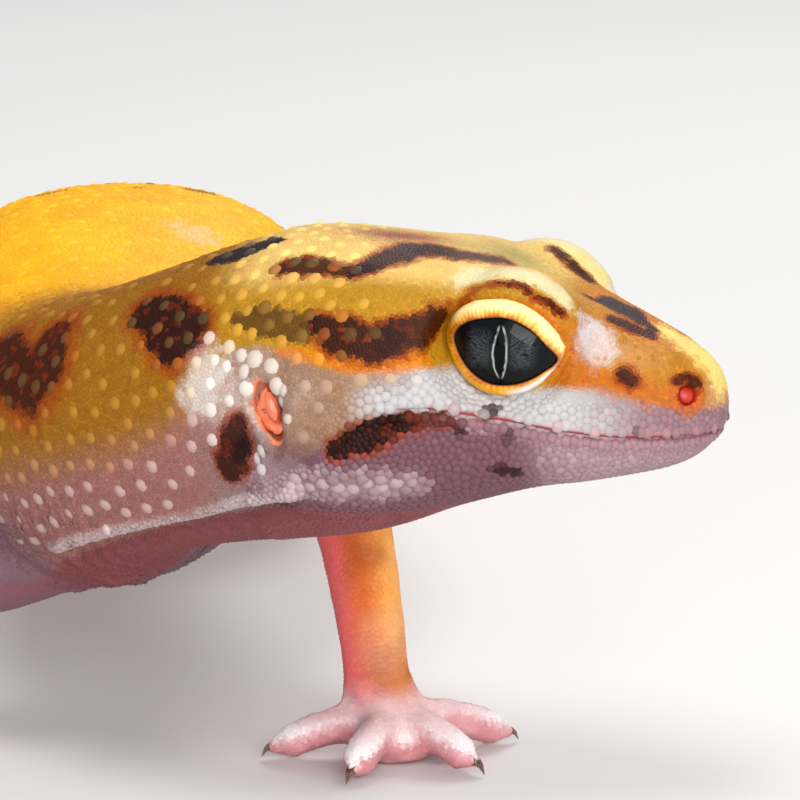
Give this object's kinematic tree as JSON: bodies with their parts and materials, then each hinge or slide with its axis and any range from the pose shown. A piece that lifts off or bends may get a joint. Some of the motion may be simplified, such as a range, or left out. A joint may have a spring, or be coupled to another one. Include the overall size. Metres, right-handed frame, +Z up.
{
  "type": "leopard gecko",
  "caption": "Life-size leopard gecko standing on four feet, head turned to its left and tail laid on the floor; a still animal model for scenes and displays.",
  "frame": {"origin": "on the floor under the centre of the whole model's bounding box", "axes": "+X along the trunk towards the animal's front, +Y to its left, which is where the head points, +Z up"},
  "size_m": [0.1624, 0.0886, 0.0368],
  "materials": {
    "head_skin": "dry granular scales, yellow to orange with dark brown marks",
    "jaw_skin": "pale granular scales over pink skin",
    "body_skin": "dry scales with raised tubercles, yellow to orange with brown blotches",
    "leg_skin": "fine dry scales, orange above and pink below",
    "foot_skin": "soft pale pink skin with fine scales",
    "tail_skin": "whorls of scales and tubercles in pale and dark bands",
    "eye": "wet and glossy, dark grey iris",
    "eyelid": "soft pale yellow rim",
    "eardrum": "thin moist skin",
    "claw": "dark horn, slightly polished"
  },
  "bodies": {
    "root": {"claw_front_left_1": "claw", "claw_front_left_2": "claw", "claw_front_left_3": "claw", "claw_front_left_4": "claw", "claw_front_left_5": "claw", "claw_front_right_1": "claw", "claw_front_right_2": "claw", "claw_front_right_3": "claw", "claw_front_right_4": "claw", "claw_front_right_5": "claw", "claw_hind_left_1": "claw", "claw_hind_left_2": "claw", "claw_hind_left_3": "claw", "claw_hind_left_4": "claw", "claw_hind_left_5": "claw", "claw_hind_right_1": "claw", "claw_hind_right_2": "claw", "claw_hind_right_3": "claw", "claw_hind_right_4": "claw", "claw_hind_right_5": "claw", "eardrum_left": "eardrum", "eardrum_right": "eardrum", "eye_left": "eye", "eye_right": "eye", "eyelid_left": "eyelid", "eyelid_right": "eyelid", "foot_front_left": "foot_skin", "foot_front_right": "foot_skin", "foot_hind_left": "foot_skin", "foot_hind_right": "foot_skin", "forearm_left": "leg_skin", "forearm_right": "leg_skin", "head": "head_skin", "lower_jaw": "jaw_skin", "neck": "body_skin", "shin_left": "leg_skin", "shin_right": "leg_skin", "tail_base": "tail_skin", "tail_middle": "tail_skin", "tail_tip": "tail_skin", "thigh_left": "leg_skin", "thigh_right": "leg_skin", "trunk": "body_skin", "upper_arm_left": "leg_skin", "upper_arm_right": "leg_skin"}
  },
  "joints": []
}
